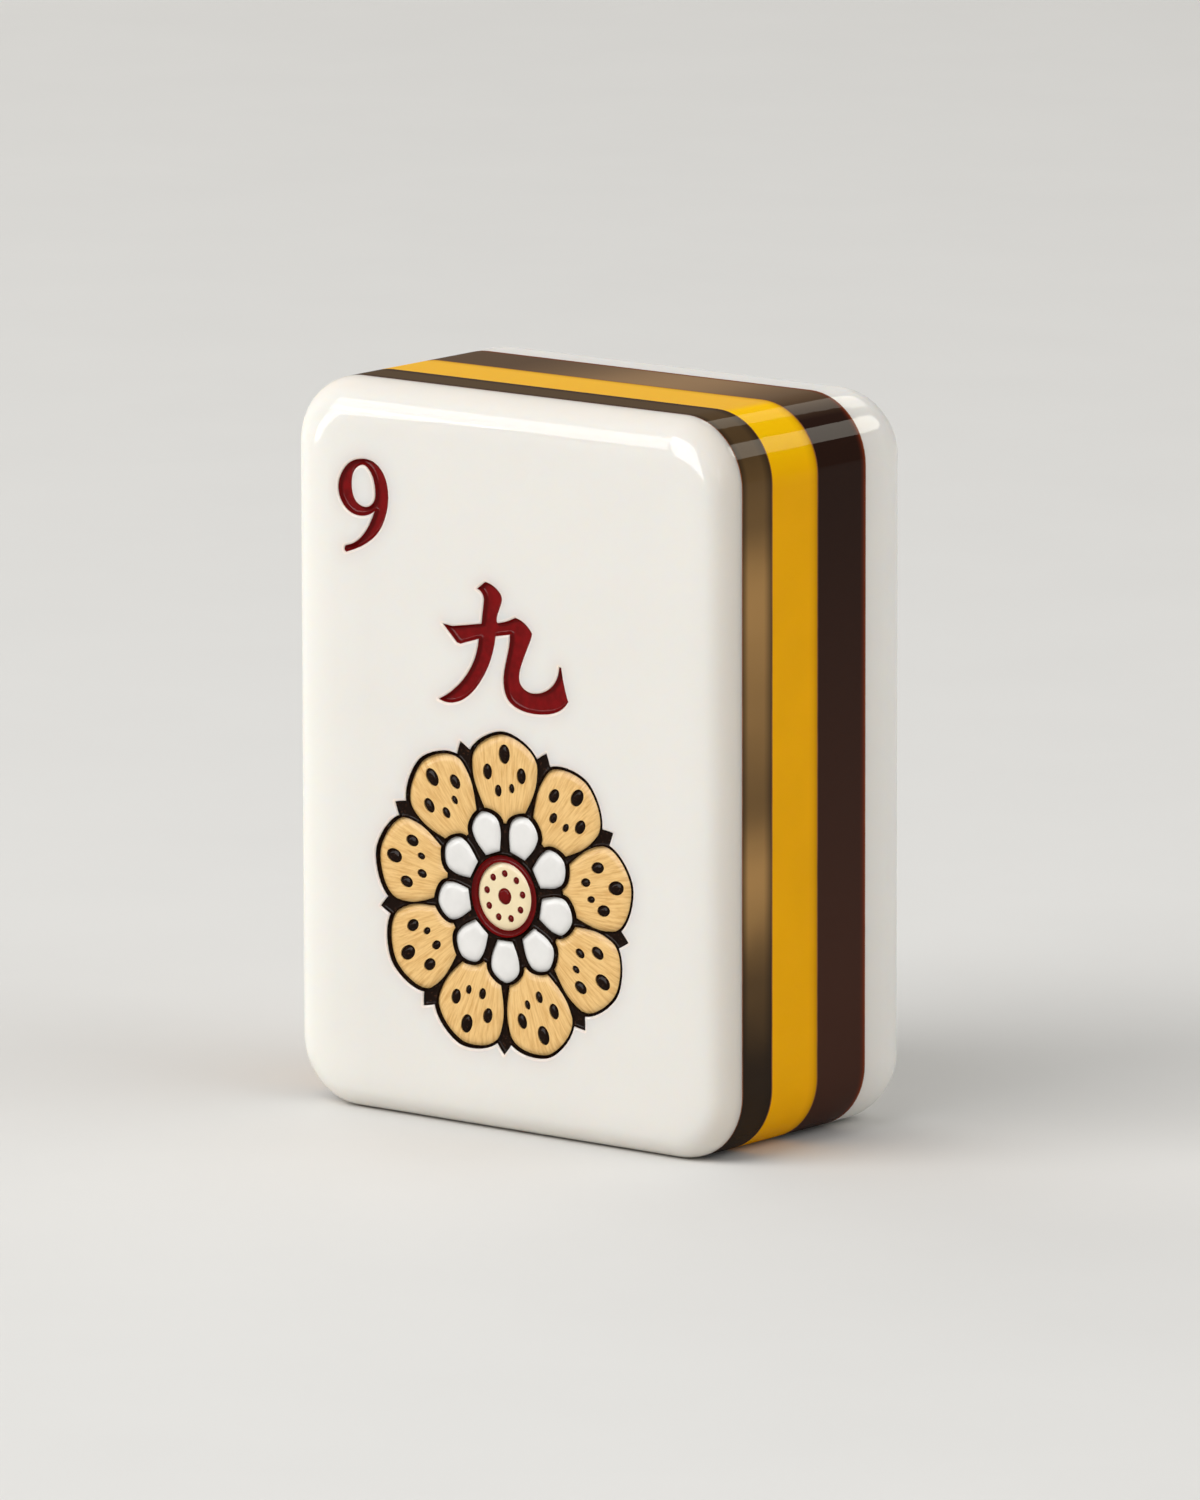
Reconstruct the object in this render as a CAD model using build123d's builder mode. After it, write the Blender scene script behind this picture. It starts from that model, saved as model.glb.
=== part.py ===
"""A laminated mahjong tile: five bonded plastic layers with an engraved, enamel-filled face.

The tile stands upright on its bottom end. The origin is the middle of that end, +Z is up,
+X runs across the face to the right of someone who looks at it, and the face looks along -Y.
All sizes are in millimetres.
"""

from math import cos, radians, sin
import os

from build123d import *

# Tile blank
height = 30.0
width = 22.2
depth = 13.24
corner_radius = 2.8  # corners of the face outline
front_edge_radius = 1.2  # round between the face and the four sides
back_edge_radius = 2.65  # softer round between the back and the four sides
edge_land = 0.12  # least straight wall that a round leaves on its layer

# Layer thicknesses, from the face to the back; the back slab takes up what they leave
front_thickness = 1.35
smoke_thickness = 1.85
amber_thickness = 2.90
brown_thickness = 3.05
bond_thickness = 0.06  # each film of adhesive between two layers

# Engraving and its enamel
pocket_depth = 0.45
enamel_sink = 0.05  # how far the enamel stays below the face

# Index numeral in the face's upper left corner
index_height = 3.90
index_from_side = 3.90  # tile's left side to the middle of the numeral
index_from_top = 5.10  # tile's top end to the middle of the numeral

# Large numeral above the rosette
numeral_height = 5.10
numeral_gap = 0.90  # between the numeral and the rosette

# Rosette of petals round a seeded disc
rosette_from_bottom = 3.05  # tile's bottom end to the rosette's lowest petal
petal_count = 9
first_petal_angle = 90.0  # degrees: the first petal points up
outline_width = 0.13  # dark line that runs round every petal
petal_flare = 1.5  # how fast a petal widens from its root, against a straight-sided one
disc_radius = 1.40
ring_width = 0.27
inner_petal_length = 1.75
inner_petal_parting = 0.24  # dark ground between the lines of two neighbours, at their widest
inner_petal_root_share = 0.55  # breadth of its root, as a share of its greatest breadth
inner_petal_wide_share = 0.62  # where it is widest, as a share of its length
gold_petal_length = 3.05  # the stretch that shows past the inner petals
gold_petal_parting = 0.16
gold_petal_root_share = 0.45
gold_petal_wide_share = 0.66
gold_petal_tuck = 1 / 3  # how far it reaches in under the inner petals, as a share of their length
sepal_width = 1.70
sepal_setback = 0.12  # how far the sepal tips stay inside the petal tips
sepal_belly = 0.62  # its breadth half-way to its tip, as a share of its greatest breadth
seed_radius = 0.15
seed_ring_radius = 0.93
heart_radius = 0.34  # the one seed in the middle of the disc
spot_length = 0.80  # the largest spot on a gold petal, along the petal
spot_width = 0.58

# Sizes that follow from the ones above
smoke_front = front_thickness + bond_thickness
amber_front = smoke_front + smoke_thickness + bond_thickness
brown_front = amber_front + amber_thickness + bond_thickness
back_front = brown_front + brown_thickness + bond_thickness
back_thickness = depth - back_front
front_round = min(front_edge_radius, front_thickness - edge_land, corner_radius - edge_land)
back_round = min(back_edge_radius, back_thickness - edge_land, corner_radius - edge_land)
face_y = -depth / 2
enamel_thickness = pocket_depth - enamel_sink
petal_pitch = 360 / petal_count
ring_radius = disc_radius + ring_width
inner_petal_root = ring_radius + outline_width
inner_petal_tip = inner_petal_root + inner_petal_length
gold_petal_root = inner_petal_tip - inner_petal_length * gold_petal_tuck
gold_petal_tip = inner_petal_tip + gold_petal_length
sepal_shoulder = inner_petal_tip + gold_petal_length / 2  # radius where a sepal is widest
rosette_radius = gold_petal_tip + outline_width
rosette_z = rosette_from_bottom + rosette_radius
numeral_z = rosette_z + rosette_radius + numeral_gap + numeral_height / 2


def face_plane(x, z, sunk=0.0):
    """A plane on the tile's face, centred at (x, z) and sunk below it; its normal looks out."""
    return Plane(origin=(x, face_y + sunk, z), x_dir=(1, 0, 0), z_dir=(0, -1, 0))


# ---------------------------------------------------------------- outlines of the engraving


def scaled(points, factor):
    """The points of an outline, all moved out from its middle by one factor."""
    return [(x * factor, z * factor) for x, z in points]


def nine_outline(size):
    """An old-style figure nine of the given height: an egg-shaped bowl on a sweeping tail."""
    drawn_height = 3.88  # of the points below
    k = size / drawn_height
    bowl = scaled([(0.57, -0.12), (-0.15, -0.38), (-0.80, -0.22), (-1.20, 0.23), (-1.31, 0.68)], k)
    crown = scaled([(-1.14, 1.26), (-0.74, 1.71), (-0.10, 1.94), (0.52, 1.87), (1.02, 1.47)], k)
    back = scaled([(1.29, 0.55), (1.17, -0.21), (0.78, -0.94), (-0.02, -1.56), (-0.92, -1.92)], k)
    tip = scaled([(-1.00, -1.79), (-0.88, -1.64)], k)
    tail_inside = scaled([(-0.30, -1.38), (0.25, -0.77)], k)
    counter_left = [(-0.08, 1.69), (-0.45, 1.45), (-0.60, 0.84), (-0.42, 0.24)]
    counter_right = [(0.07, 0.00), (0.50, 0.21), (0.60, 0.80), (0.30, 1.52)]
    with BuildSketch(Plane.XY) as nine:
        with BuildLine():
            Spline(*bowl, *crown, *back)
            ThreePointArc(back[-1], tip[0], tip[1])
            Spline(tip[1], *tail_inside, bowl[0])
        make_face()
        with BuildLine():
            Spline(*scaled(counter_left + counter_right, k), periodic=True)
        make_face(mode=Mode.SUBTRACT)
    return nine.sketch


def numeral_outline(size):
    """The brush-written numeral for nine: a falling stroke crossed by a hooked one."""
    drawn_height = 4.66  # of the points below
    k = size / drawn_height
    nib_top, nib_left, nib_under = scaled([(-0.84, 2.31), (-1.22, 2.02), (-0.99, 1.88)], k)
    shaft_left, crossing_left = scaled([(-0.90, 1.64), (-1.02, 0.74)], k)
    bar_dip, bar_tip = scaled([(-2.39, 0.51), (-2.84, 0.56)], k)
    bar_end, bar_heel = scaled([(-2.18, -0.07), (-2.02, -0.11)], k)
    fall_left = scaled([(-1.15, 0.17), (-1.34, -0.58), (-1.87, -1.40), (-3.04, -2.27)], k)
    fall_right = [(-2.46, -2.35), (-1.74, -2.07), (-1.02, -1.34), (-0.54, -0.44), (-0.35, 0.35)]
    hook_left = scaled([(0.31, 0.48), (0.09, -0.70), (0.01, -1.34), (0.24, -1.97), (0.78, -2.26)], k)
    hook_under = scaled([(1.83, -2.32), (2.64, -2.10), (3.04, -1.72)], k)
    hook_back, hook_tip, hook_front = scaled([(2.85, -1.12), (2.72, -0.49), (2.62, -0.48)], k)
    hook_inside = [(2.14, -1.35), (1.72, -1.54), (1.12, -1.54), (0.81, -1.30), (0.79, -0.80)]
    shoulder_end, shoulder, shoulder_top = scaled([(1.34, 0.66), (0.99, 0.98), (0.57, 1.13)], k)
    bar_right, shaft_right = scaled([(0.16, 0.95), (-0.27, 0.84)], k)
    nib_right = scaled([(-0.14, 1.44), (-0.05, 1.80), (-0.27, 2.09)], k)
    with BuildSketch(Plane.XY) as numeral:
        with BuildLine():
            Line(nib_top, nib_left)
            ThreePointArc(nib_left, nib_under, shaft_left)
            Line(shaft_left, crossing_left)
            Line(crossing_left, bar_dip)
            Line(bar_dip, bar_tip)
            Line(bar_tip, bar_end)
            Line(bar_end, bar_heel)
            Line(bar_heel, fall_left[0])
            Spline(*fall_left)
            fall_edge = Spline(fall_left[-1], *scaled(fall_right, k))
            Line(fall_edge @ 1, hook_left[0])
            Spline(*hook_left, *hook_under)
            ThreePointArc(hook_under[-1], hook_back, hook_tip)
            Line(hook_tip, hook_front)
            Spline(hook_front, *scaled(hook_inside, k), shoulder_end)
            ThreePointArc(shoulder_end, shoulder, shoulder_top)
            ThreePointArc(shoulder_top, bar_right, shaft_right)
            Spline(shaft_right, *nib_right, nib_top)
        make_face()
    return numeral.sketch


def petal_outline(root, tip, parting, root_share, wide_share, margin=0.0):
    """One petal that points along +X, straight at its root and widest at a share of its length.

    It is as broad as its neighbours leave room for, with a line on each and a parting between.
    root_share is its root's breadth as a share of its greatest. margin makes it larger all round.
    """
    half_pitch = radians(petal_pitch / 2)
    wide_at = root + (tip - root) * wide_share
    room = wide_at * sin(half_pitch) - outline_width - parting / 2
    wide_half = room / cos(half_pitch) + margin
    root_half = room / cos(half_pitch) * root_share + margin
    foot = root - margin
    flare = petal_flare * (wide_half - root_half) / (wide_at - foot)
    with BuildSketch(Plane.XY) as petal:
        with BuildLine():
            Spline(
                (foot, -root_half),
                (wide_at, -wide_half),
                (tip + margin, 0),
                (wide_at, wide_half),
                (foot, root_half),
                tangents=[(1, -flare), (1, 0), (0, 1), (-1, 0), (-1, -flare)],
            )
            Line((foot, root_half), (foot, -root_half))
        make_face()
    return petal.sketch


def sepal_outline():
    """One pointed sepal that fills the notch between two gold petals and points along +X."""
    tip = gold_petal_tip - sepal_setback
    flank = (sepal_shoulder + tip) / 2
    half = sepal_width / 2
    with BuildSketch(Plane.XY) as sepal:
        with BuildLine():
            Line((inner_petal_tip, 0), (sepal_shoulder, -half))
            ThreePointArc((sepal_shoulder, -half), (flank, -half * sepal_belly), (tip, 0))
            ThreePointArc((tip, 0), (flank, half * sepal_belly), (sepal_shoulder, half))
            Line((sepal_shoulder, half), (inner_petal_tip, 0))
        make_face()
    return sepal.sketch


def spot_outlines():
    """The five dark spots of one gold petal that points along +X: one large, two pairs."""
    first = gold_petal_tip - spot_length
    # (spot lengths in from the first, spot widths off the middle, size against the first)
    layout = [(0, 0, 1.0), (1, 1.5, 0.82), (1, -1.5, 0.82), (1.9, 0.55, 0.62), (1.7, -0.65, 0.50)]
    with BuildSketch(Plane.XY) as spots:
        for inward, aside, share in layout:
            with Locations((first - inward * spot_length, aside * spot_width)):
                Ellipse(spot_length / 2 * share, spot_width / 2 * share)
    return spots.sketch


nine = nine_outline(index_height)
numeral = numeral_outline(numeral_height)
inner_petal_sizes = (
    inner_petal_root,
    inner_petal_tip,
    inner_petal_parting,
    inner_petal_root_share,
    inner_petal_wide_share,
)
gold_petal_sizes = (
    gold_petal_root,
    gold_petal_tip,
    gold_petal_parting,
    gold_petal_root_share,
    gold_petal_wide_share,
)
inner_petal = petal_outline(*inner_petal_sizes)
gold_petal = petal_outline(*gold_petal_sizes)
lined_inner_petal = petal_outline(*inner_petal_sizes, margin=outline_width)
lined_gold_petal = petal_outline(*gold_petal_sizes, margin=outline_width)
sepal = sepal_outline()
spots = spot_outlines()


def round_the_rosette(shape, between=False, mode=Mode.ADD):
    """Repeats a shape once for each petal; between puts it in the gaps instead."""
    start = first_petal_angle + (petal_pitch / 2 if between else 0)
    with PolarLocations(0, petal_count, start_angle=start):
        add(shape, mode=mode)


with BuildSketch(Plane.XY) as gold_cells:
    round_the_rosette(gold_petal)
    round_the_rosette(lined_inner_petal, between=True, mode=Mode.SUBTRACT)

with BuildSketch(Plane.XY) as rosette_region:
    Circle(sepal_shoulder)
    round_the_rosette(lined_gold_petal)
    round_the_rosette(sepal, between=True)

with BuildSketch(Plane.XY) as seeds:
    Circle(heart_radius)
    with PolarLocations(seed_ring_radius, petal_count, start_angle=first_petal_angle):
        Circle(seed_radius)

index_plane = face_plane(index_from_side - width / 2, height - index_from_top)
numeral_plane = face_plane(0, numeral_z)
rosette_plane = face_plane(0, rosette_z)

# ---------------------------------------------------------------- layers


def tile_section():
    """The rounded rectangle that every layer is cut to."""
    with Locations((0, height / 2)):
        RectangleRounded(width, height, corner_radius)


def layer_plane(front):
    """The plane of a layer's front surface, this far behind the tile's face."""
    return Plane.XZ.offset(-(face_y + front))


with BuildPart() as front_slab:
    with BuildSketch(layer_plane(0)):
        tile_section()
    extrude(amount=-front_thickness)
    fillet(front_slab.faces().sort_by(Axis.Y)[0].edges(), radius=front_round)
    with BuildSketch(index_plane):
        add(nine)
    with BuildSketch(numeral_plane):
        add(numeral)
    with BuildSketch(rosette_plane):
        add(rosette_region.sketch)
    extrude(amount=-pocket_depth, mode=Mode.SUBTRACT)

with BuildPart() as smoke_layer:
    with BuildSketch(layer_plane(smoke_front)):
        tile_section()
    extrude(amount=-smoke_thickness)

with BuildPart() as amber_layer:
    with BuildSketch(layer_plane(amber_front)):
        tile_section()
    extrude(amount=-amber_thickness)

with BuildPart() as brown_layer:
    with BuildSketch(layer_plane(brown_front)):
        tile_section()
    extrude(amount=-brown_thickness)

with BuildPart() as back_slab:
    with BuildSketch(layer_plane(back_front)):
        tile_section()
    extrude(amount=-back_thickness)
    fillet(back_slab.faces().sort_by(Axis.Y)[-1].edges(), radius=back_round)


def bond_film(behind):
    """A film of adhesive as large as the layers, on the back surface of the layer that ends there."""
    with BuildPart() as film:
        with BuildSketch(layer_plane(behind)):
            tile_section()
        extrude(amount=-bond_thickness)
    return film


bond_front_smoke = bond_film(front_thickness)
bond_smoke_amber = bond_film(amber_front - bond_thickness)
bond_amber_brown = bond_film(brown_front - bond_thickness)
bond_brown_back = bond_film(back_front - bond_thickness)

# ---------------------------------------------------------------- enamel


def enamel_plane(plane):
    """The plane of the enamel's top surface in a pocket that opens at the given plane."""
    return plane.offset(-enamel_sink)


with BuildPart() as index_enamel:
    with BuildSketch(enamel_plane(index_plane)):
        add(nine)
    extrude(amount=-enamel_thickness)

with BuildPart() as numeral_enamel:
    with BuildSketch(enamel_plane(numeral_plane)):
        add(numeral)
    extrude(amount=-enamel_thickness)

with BuildPart() as outline_enamel:
    with BuildSketch(enamel_plane(rosette_plane)):
        add(rosette_region.sketch)
        add(gold_cells.sketch, mode=Mode.SUBTRACT)
        round_the_rosette(inner_petal, between=True, mode=Mode.SUBTRACT)
        Circle(ring_radius, mode=Mode.SUBTRACT)
    extrude(amount=-enamel_thickness)

with BuildPart() as gold_petal_enamel:
    with BuildSketch(enamel_plane(rosette_plane)):
        add(gold_cells.sketch)
        round_the_rosette(spots, mode=Mode.SUBTRACT)
    extrude(amount=-enamel_thickness)

with BuildPart() as petal_spot_enamel:
    with BuildSketch(enamel_plane(rosette_plane)):
        round_the_rosette(spots)
    extrude(amount=-enamel_thickness)

with BuildPart() as inner_petal_enamel:
    with BuildSketch(enamel_plane(rosette_plane)):
        round_the_rosette(inner_petal, between=True)
    extrude(amount=-enamel_thickness)

with BuildPart() as ring_enamel:
    with BuildSketch(enamel_plane(rosette_plane)):
        Circle(ring_radius)
        Circle(disc_radius, mode=Mode.SUBTRACT)
    extrude(amount=-enamel_thickness)

with BuildPart() as disc_enamel:
    with BuildSketch(enamel_plane(rosette_plane)):
        Circle(disc_radius)
        add(seeds.sketch, mode=Mode.SUBTRACT)
    extrude(amount=-enamel_thickness)

with BuildPart() as seed_enamel:
    with BuildSketch(enamel_plane(rosette_plane)):
        add(seeds.sketch)
    extrude(amount=-enamel_thickness)

# ---------------------------------------------------------------- named pieces

pieces = {
    "front_slab": front_slab,
    "smoke_layer": smoke_layer,
    "amber_layer": amber_layer,
    "brown_layer": brown_layer,
    "back_slab": back_slab,
    "bond_front_smoke": bond_front_smoke,
    "bond_smoke_amber": bond_smoke_amber,
    "bond_amber_brown": bond_amber_brown,
    "bond_brown_back": bond_brown_back,
    "index_enamel": index_enamel,
    "numeral_enamel": numeral_enamel,
    "outline_enamel": outline_enamel,
    "gold_petal_enamel": gold_petal_enamel,
    "petal_spot_enamel": petal_spot_enamel,
    "inner_petal_enamel": inner_petal_enamel,
    "ring_enamel": ring_enamel,
    "disc_enamel": disc_enamel,
    "seed_enamel": seed_enamel,
}

os.makedirs("parts", exist_ok=True)
for node, piece in pieces.items():
    piece.part.label = node
    export_step(piece.part, f"parts/{node}.step")
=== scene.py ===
"""A laminated mahjong tile with an engraved face, each layer and enamel fill dressed round its frame.

The tile stands on its bottom end with the origin in the middle of that end, +Z up and the face
towards -Y. Outlines are worked out in millimetres and become metres when a mesh is made.
"""

from math import cos, degrees, pi, radians, sin, tau

import bmesh
import bpy
import numpy as np
from bpy.props import FloatProperty, FloatVectorProperty, IntProperty, PointerProperty
from mathutils import Matrix, Vector
from mathutils.geometry import delaunay_2d_cdt


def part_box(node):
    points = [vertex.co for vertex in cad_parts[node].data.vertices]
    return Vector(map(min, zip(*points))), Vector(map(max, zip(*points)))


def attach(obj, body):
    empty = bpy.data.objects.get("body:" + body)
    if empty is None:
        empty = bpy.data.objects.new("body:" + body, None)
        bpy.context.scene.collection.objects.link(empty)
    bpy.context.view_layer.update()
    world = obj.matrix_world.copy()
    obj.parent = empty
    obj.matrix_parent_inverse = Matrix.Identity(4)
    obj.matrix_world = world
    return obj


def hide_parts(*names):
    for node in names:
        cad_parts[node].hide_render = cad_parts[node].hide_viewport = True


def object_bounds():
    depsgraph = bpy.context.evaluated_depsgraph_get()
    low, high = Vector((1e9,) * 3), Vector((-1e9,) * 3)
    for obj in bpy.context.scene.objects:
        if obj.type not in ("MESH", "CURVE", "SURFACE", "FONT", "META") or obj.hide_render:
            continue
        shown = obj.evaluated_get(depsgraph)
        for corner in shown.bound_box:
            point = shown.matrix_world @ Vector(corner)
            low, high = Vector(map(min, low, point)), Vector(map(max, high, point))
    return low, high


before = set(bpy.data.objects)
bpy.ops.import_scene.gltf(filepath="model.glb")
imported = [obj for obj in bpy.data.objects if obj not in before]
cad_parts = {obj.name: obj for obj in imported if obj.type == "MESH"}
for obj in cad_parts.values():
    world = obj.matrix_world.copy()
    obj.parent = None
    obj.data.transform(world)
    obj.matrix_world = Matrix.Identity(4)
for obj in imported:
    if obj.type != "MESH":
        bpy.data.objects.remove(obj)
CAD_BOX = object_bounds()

bl_info = {
    "name": "Laminated Mahjong Tile",
    "version": (1, 0, 0),
    "blender": (4, 5, 0),
    "location": "3D View > Sidebar > Tile",
    "description": "Layers, engraving and enamel of a laminated mahjong tile, with its studio",
    "category": "Add Mesh",
}

MM = 0.001


def front_of(node):
    """How far along Y a node begins, in millimetres."""
    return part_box(node)[0].y / MM


def back_of(node):
    """How far along Y a node ends, in millimetres."""
    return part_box(node)[1].y / MM


FACE_Y = front_of("front_slab")
ENAMEL_Y = front_of("outline_enamel")
POCKET_Y = back_of("outline_enamel")
TILE_WIDTH = (CAD_BOX[1].x - CAD_BOX[0].x) / MM
TILE_HEIGHT = (CAD_BOX[1].z - CAD_BOX[0].z) / MM
LEFT_X = CAD_BOX[0].x / MM

# Rows of mesh points beside an outline, by their distance from it in millimetres
FIGURE_ROWS = (0.02, 0.05, 0.085, 0.125, 0.17, 0.22, 0.27, 0.34)
LINE_ROWS = (0.03, 0.06, 0.1)
PETAL_ROWS = (0.03, 0.07, 0.12, 0.18, 0.25, 0.33, 0.42)
SPOT_ROWS = (0.02, 0.05, 0.09, 0.14, 0.2)
DISC_ROWS = (0.03, 0.08, 0.15, 0.24, 0.35)
SEED_ROWS = (0.02, 0.05, 0.09, 0.12)
FACE_ROWS = (0.125, 0.17, 0.26, 0.45)
RIM_SHARES = (0.12, 0.3, 0.5, 0.72, 1.0)  # rows on a pocket's soft rim, as shares of its breadth
HALO_REACH = 0.8  # how far from a pocket the ivory is tinted, in millimetres

# Spacing of the points along a row, in millimetres
FIGURE_SPACING = 0.06
LINE_SPACING = 0.09
PETAL_SPACING = 0.11
SPOT_SPACING = 0.07
HEART_SPACING = 0.05
SEED_SPACING = 0.04
FACE_SPACING = 0.09

ON_EDGE = 1e-4  # a point nearer to an outline than this, in millimetres, lies on it
HOLE_MARGIN = 0.02  # least distance from a petal's own points to the hole of a spot, in millimetres
SHARP_EDGE = 35.0  # degrees between two faces from which their edge is shaded sharp

# Studio, in metres
FLOOR_RADIUS = 3.0
LIGHT_DISTANCE = 0.9
BACK_CARD_DISTANCE = 0.8
WHITE_LIGHT = (1.0, 1.0, 1.0)
FAINTLY_WARM_LIGHT = (1.0, 0.97, 0.92)
WARM_LIGHT = (1.0, 0.95, 0.82)


# ---------------------------------------------------------------- settings


def length(name, description, default):
    """A size in metres; its default is given in millimetres."""
    return FloatProperty(
        name=name, description=description, default=default * MM, min=0.0, subtype="DISTANCE", unit="LENGTH"
    )


def colour(name, description, default):
    """A linear colour."""
    return FloatVectorProperty(
        name=name, description=description, default=default, min=0.0, max=1.0, size=3, subtype="COLOR"
    )


def angle(name, description, default):
    """An angle whose default is given in degrees."""
    return FloatProperty(
        name=name, description=description, default=radians(default), subtype="ANGLE", unit="ROTATION"
    )


def number(name, description, default):
    """A plain number."""
    return FloatProperty(name=name, description=description, default=default)


def facets(name, description, default):
    """A number of facets."""
    return IntProperty(name=name, description=description, default=default, min=4)


class TileShape(bpy.types.PropertyGroup):
    """Sizes of the blank and its polished edges."""

    corner_radius: length("Corner radius", "Round of the four corners of the face outline", 2.8)
    front_round: length("Front round", "Round between the face and the sides", 1.2)
    shoulder: length("Shoulder", "Gentle fall of the face before its round begins", 1.0)
    shoulder_lean: angle("Shoulder lean", "How far the face has leant over where its round begins", 10.0)
    back_round: length("Back round", "Round between the back and the sides", 2.65)
    back_shoulder: length("Back shoulder", "Gentle fall of the back before its round begins", 0.45)
    rim_width: length("Rim width", "Breadth of the soft rim that polishing leaves round a pocket", 0.08)
    corner_steps: facets("Corner steps", "Facets along one corner", 28)
    round_steps: facets("Round steps", "Facets across one edge round", 16)


class EnamelShape(bpy.types.PropertyGroup):
    """How the enamel lies in its pockets; every depth is measured from the enamel's highest level."""

    groove_depth: length("Groove depth", "How far the middle of a red stroke lies below its edge", 0.14)
    groove_slope: length("Groove slope", "Breadth of the sloping wall of a red stroke", 0.15)
    line_depth: length("Line depth", "Depth of the dark lines and sepals", 0.09)
    line_fall: length("Line fall", "Breadth over which a dark line falls to its level", 0.09)
    petal_edge: length("Petal edge depth", "Depth of a petal along its outline", 0.13)
    petal_crown: length("Petal crown depth", "Depth of a petal where it swells most", 0.04)
    petal_swell: length("Petal swell", "Breadth over which a petal rises to its crown", 0.42)
    spot_edge: length("Spot edge depth", "Depth of a spot along its outline", 0.10)
    spot_swell: length("Spot swell", "Breadth over which a spot rises to its crown", 0.20)
    disc_edge: length("Disc edge depth", "Depth of the cream disc along its outline", 0.12)
    disc_crown: length("Disc crown depth", "Depth of the cream disc where it swells most", 0.05)
    disc_swell: length("Disc swell", "Breadth over which the disc rises to its crown", 0.35)
    seed_edge: length("Seed edge depth", "Depth of a seed along its outline", 0.09)
    seed_swell: length("Seed swell", "Breadth over which a seed rises to its crown", 0.12)


class Finish(bpy.types.PropertyGroup):
    """Colours of the plastics and enamels."""

    ivory: colour("Ivory", "Front and back slabs", (0.835, 0.812, 0.765))
    # Painted light: a lighter colour painted on the front slab's left edge.
    ivory_painted_left_light: colour("Ivory, left edge", "Where light gathers in the front slab", (1.0, 0.975, 0.90))
    # Painted shade: a darker tan painted on the ivory near its seams with the dark layers.
    ivory_painted_seam_shade: colour("Ivory near the dark layer", "Where the smoky layer shows through", (0.60, 0.45, 0.31))
    # Painted highlight: a lighter colour painted on the soft rim round the engraving.
    rim: colour("Rim", "Soft rim round the engraving", (1.0, 0.84, 0.73))
    # Painted shade: a darker pinkish tint painted on the ivory beside the engraving.
    painted_halo_shade: colour("Halo", "Tint of the ivory beside the engraving", (0.82, 0.70, 0.63))
    smoke_dark: colour("Smoke, dark", "Dark drifts in the smoky layer", (0.016, 0.0085, 0.004))
    smoke_light: colour("Smoke, light", "Light drifts in the smoky layer", (0.42, 0.235, 0.080))
    amber: colour("Amber", "Yellow layer", (0.92, 0.43, 0.0))
    # Painted light: a brighter yellow painted where the layer turns to the top end.
    amber_painted_top_light: colour("Amber, top corners", "Yellow layer where it turns to the top end", (1.0, 0.55, 0.0))
    # Painted light: a paler yellow painted on the flat top, standing in for light and reflection from above.
    amber_painted_flat_top: colour("Amber, flat top", "Yellow layer on the flat of the top end", (0.86, 0.45, 0.033))
    amber_deep: colour("Amber, deep", "Yellow layer against the brown one", (0.52, 0.22, 0.0))
    brown: colour("Brown", "Dark brown layer", (0.020, 0.0065, 0.003))
    brown_low: colour("Brown, low", "Dark brown layer towards the bottom end", (0.050, 0.017, 0.009))
    # Painted light: a light brown painted on the top end of the dark layer.
    brown_painted_top_light: colour("Brown, top", "Dark brown layer on the lit top end", (0.40, 0.24, 0.113))
    # Painted light: a red glow painted where the brown layer meets the back slab.
    brown_painted_glow: colour("Brown, warm", "Brown layer against the back slab", (0.16, 0.022, 0.006))
    adhesive: colour("Adhesive", "Films between the layers", (0.30, 0.10, 0.035))
    red: colour("Red enamel", "Numerals, ring and seeds", (0.205, 0.004, 0.005))
    # Used for the enamel's darker mottling, and as painted shade just inside the edge of each stroke.
    red_mottle_and_wall_shade: colour("Red enamel, deep", "Bottom of the red strokes", (0.12, 0.003, 0.003))
    black: colour("Dark enamel", "Outlines, sepals and spots", (0.010, 0.004, 0.002))
    gold: colour("Gold enamel", "Petals", (0.80, 0.40, 0.10))
    gold_light: colour("Gold enamel, light", "Petal tips", (0.88, 0.58, 0.24))
    white: colour("White enamel", "Inner petals", (0.83, 0.815, 0.79))
    cream: colour("Cream enamel", "Disc", (0.90, 0.76, 0.49))


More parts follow.
